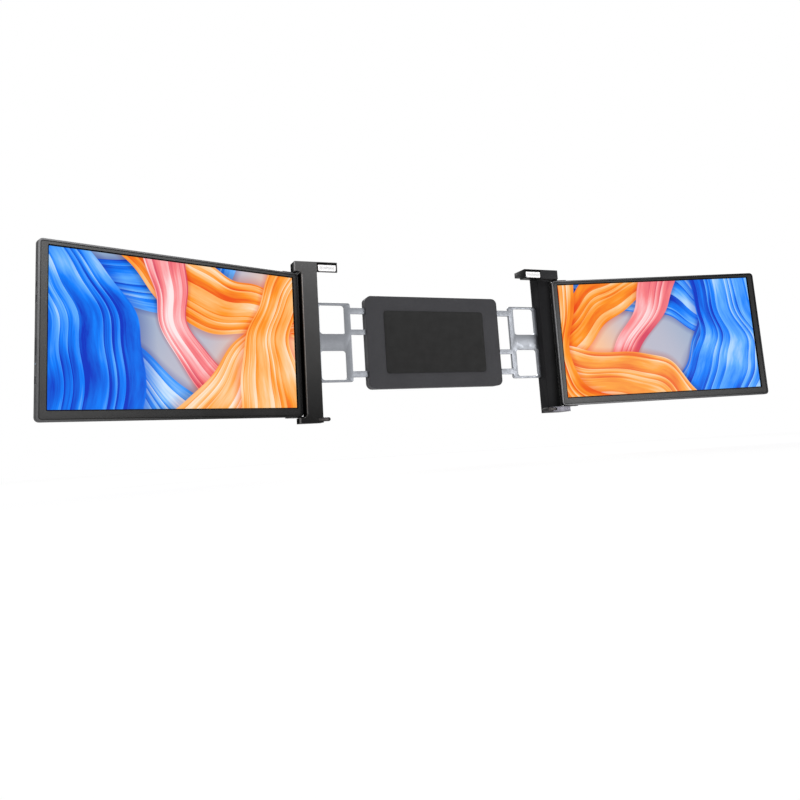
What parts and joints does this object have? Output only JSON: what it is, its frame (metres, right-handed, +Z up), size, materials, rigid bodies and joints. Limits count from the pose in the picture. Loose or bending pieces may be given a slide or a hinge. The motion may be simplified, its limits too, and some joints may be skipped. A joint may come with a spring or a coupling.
{
  "type": "laptop screen extender",
  "caption": "Clip-on laptop screen extender: side displays on offset hinges, held by a telescoping rack-and-pinion bracket with sprung top claws and sliding bottom fingers.",
  "frame": {"origin": "middle of the rest pad's front face, which lies on the back of the laptop lid", "axes": "+X across the lid towards the right screen, +Y away from the user, +Z up along the lid and the hinge axes"},
  "size_m": [0.979, 0.1217, 0.2064],
  "materials": {
    "bracket_plastic": "fine moulded texture",
    "rest_rubber": "matt rubber",
    "screw_steel": "black oxide",
    "gear_plastic": "natural acetal",
    "pin_steel": "ground steel",
    "stand_metal": "satin paint",
    "post_plastic": "satin grey, fine texture",
    "post_cover_plastic": "fine moulded texture",
    "slide_aluminium": "bead-blasted and anodised",
    "claw_plastic": "satin grey, fine texture",
    "pad_silicone": "white silicone",
    "finger_metal": "satin",
    "tip_rubber": "matt rubber",
    "shell_plastic": "satin dark grey",
    "bezel_plastic": "satin grey, fine texture",
    "display_glass": "lit screen with an abstract colour field",
    "backlight_foil": "pressed tray",
    "board_laminate": "solder mask",
    "port_steel": "drawn steel",
    "button_plastic": "satin black",
    "light_pipe": "clear, tinted"
  },
  "bodies": {
    "bracket": {"bracket_front_cover": "bracket_plastic", "bracket_rear_cover": "bracket_plastic", "rest_pad": "rest_rubber", "bracket_screws": "screw_steel", "pinion_pin": "pin_steel", "kickstand_pin": "pin_steel"},
    "pinion": {"pinion": "gear_plastic"},
    "kickstand": {"kickstand": "stand_metal", "kickstand_foot": "rest_rubber"},
    "left_arm": {"left_slide_frame": "slide_aluminium", "left_post": "post_plastic", "left_post_cover": "post_cover_plastic", "left_post_screws": "screw_steel", "left_claw_pin": "pin_steel", "left_claw_spring": "pin_steel"},
    "left_claw": {"left_claw": "claw_plastic", "left_claw_pad": "pad_silicone"},
    "left_finger": {"left_finger": "finger_metal", "left_finger_tip": "tip_rubber"},
    "left_screen": {"left_rear_shell": "shell_plastic", "left_front_bezel": "bezel_plastic", "left_display_cell": "display_glass", "left_backlight": "backlight_foil", "left_controller_board": "board_laminate", "left_usb_ports": "port_steel", "left_status_light": "light_pipe", "left_upper_hinge_plate": "pin_steel", "left_lower_hinge_plate": "pin_steel", "left_hinge_screws": "screw_steel", "left_panel_screws": "screw_steel"},
    "left_power_button": {"left_power_button": "button_plastic"},
    "left_rocker": {"left_rocker": "button_plastic"},
    "right_arm": {"right_slide_frame": "slide_aluminium", "right_post": "post_plastic", "right_post_cover": "post_cover_plastic", "right_post_screws": "screw_steel", "right_claw_pin": "pin_steel", "right_claw_spring": "pin_steel"},
    "right_claw": {"right_claw": "claw_plastic", "right_claw_pad": "pad_silicone"},
    "right_finger": {"right_finger": "finger_metal", "right_finger_tip": "tip_rubber"},
    "right_screen": {"right_rear_shell": "shell_plastic", "right_front_bezel": "bezel_plastic", "right_display_cell": "display_glass", "right_backlight": "backlight_foil", "right_controller_board": "board_laminate", "right_usb_ports": "port_steel", "right_status_light": "light_pipe", "right_upper_hinge_plate": "pin_steel", "right_lower_hinge_plate": "pin_steel", "right_hinge_screws": "screw_steel", "right_panel_screws": "screw_steel"},
    "right_power_button": {"right_power_button": "button_plastic"},
    "right_rocker": {"right_rocker": "button_plastic"}
  },
  "joints": [
    {"name": "left_arm_slide", "type": "slide", "parent": "bracket", "child": "left_arm", "axis": [-1, 0, 0], "range_m": [-0.02, 0.026]},
    {"name": "left_screen_hinge", "type": "hinge", "parent": "left_arm", "child": "left_screen", "pos_m": [-0.194, -0.0045, 0], "axis": [0, 0, 1], "range_deg": [-19.9, 160.1]},
    {"name": "left_claw_slide", "type": "slide", "parent": "left_arm", "child": "left_claw", "axis": [0, -1, 0], "range_m": [0, 0.005], "stiffness_N_per_m": 400, "springref_m": -0.003, "deforming": ["left_claw_spring"]},
    {"name": "left_finger_slide", "type": "slide", "parent": "left_arm", "child": "left_finger", "axis": [-1, 0, 0], "range_m": [0, 0.009]},
    {"name": "left_power_press", "type": "slide", "parent": "left_screen", "child": "left_power_button", "axis": [0.9403, 0.3404, 0], "range_m": [0, 0.0005], "stiffness_N_per_m": 2000, "springref_m": -0.0002},
    {"name": "left_rocker_tilt", "type": "hinge", "parent": "left_screen", "child": "left_rocker", "pos_m": [-0.48265, -0.09995, -0.021], "axis": [-0.3404, 0.9403, 0], "range_deg": [-3, 3], "stiffness_Nm_per_rad": 0.5},
    {"name": "right_arm_slide", "type": "slide", "parent": "bracket", "child": "right_arm", "axis": [1, 0, 0], "range_m": [-0.02, 0.026]},
    {"name": "right_screen_hinge", "type": "hinge", "parent": "right_arm", "child": "right_screen", "pos_m": [0.194, -0.0153, 0], "axis": [0, 0, -1], "range_deg": [-17.7, 162.3]},
    {"name": "right_claw_slide", "type": "slide", "parent": "right_arm", "child": "right_claw", "axis": [0, -1, 0], "range_m": [0, 0.005], "stiffness_N_per_m": 400, "springref_m": -0.003, "deforming": ["right_claw_spring"]},
    {"name": "right_finger_slide", "type": "slide", "parent": "right_arm", "child": "right_finger", "axis": [1, 0, 0], "range_m": [0, 0.009]},
    {"name": "right_power_press", "type": "slide", "parent": "right_screen", "child": "right_power_button", "axis": [-0.9527, 0.304, 0], "range_m": [0, 0.0005], "stiffness_N_per_m": 2000, "springref_m": -0.0002},
    {"name": "right_rocker_tilt", "type": "hinge", "parent": "right_screen", "child": "right_rocker", "pos_m": [0.4861, -0.0996, -0.021], "axis": [0.304, 0.9527, 0], "range_deg": [-3, 3], "stiffness_Nm_per_rad": 0.5},
    {"name": "pinion_spin", "type": "hinge", "parent": "bracket", "child": "pinion", "pos_m": [0, 0.0063, 0], "axis": [0, -1, 0], "range_deg": [-127.5, 165.7]},
    {"name": "kickstand_fold", "type": "hinge", "parent": "bracket", "child": "kickstand", "pos_m": [0, 0.0138, 0.034], "axis": [1, 0, 0], "range_deg": [0, 75]}
  ],
  "couplings": [
    {"joint": "right_arm_slide", "follows": "left_arm_slide", "ratio": 1},
    {"joint": "pinion_spin", "follows": "left_arm_slide", "rad_per_m": 111.11}
  ]
}
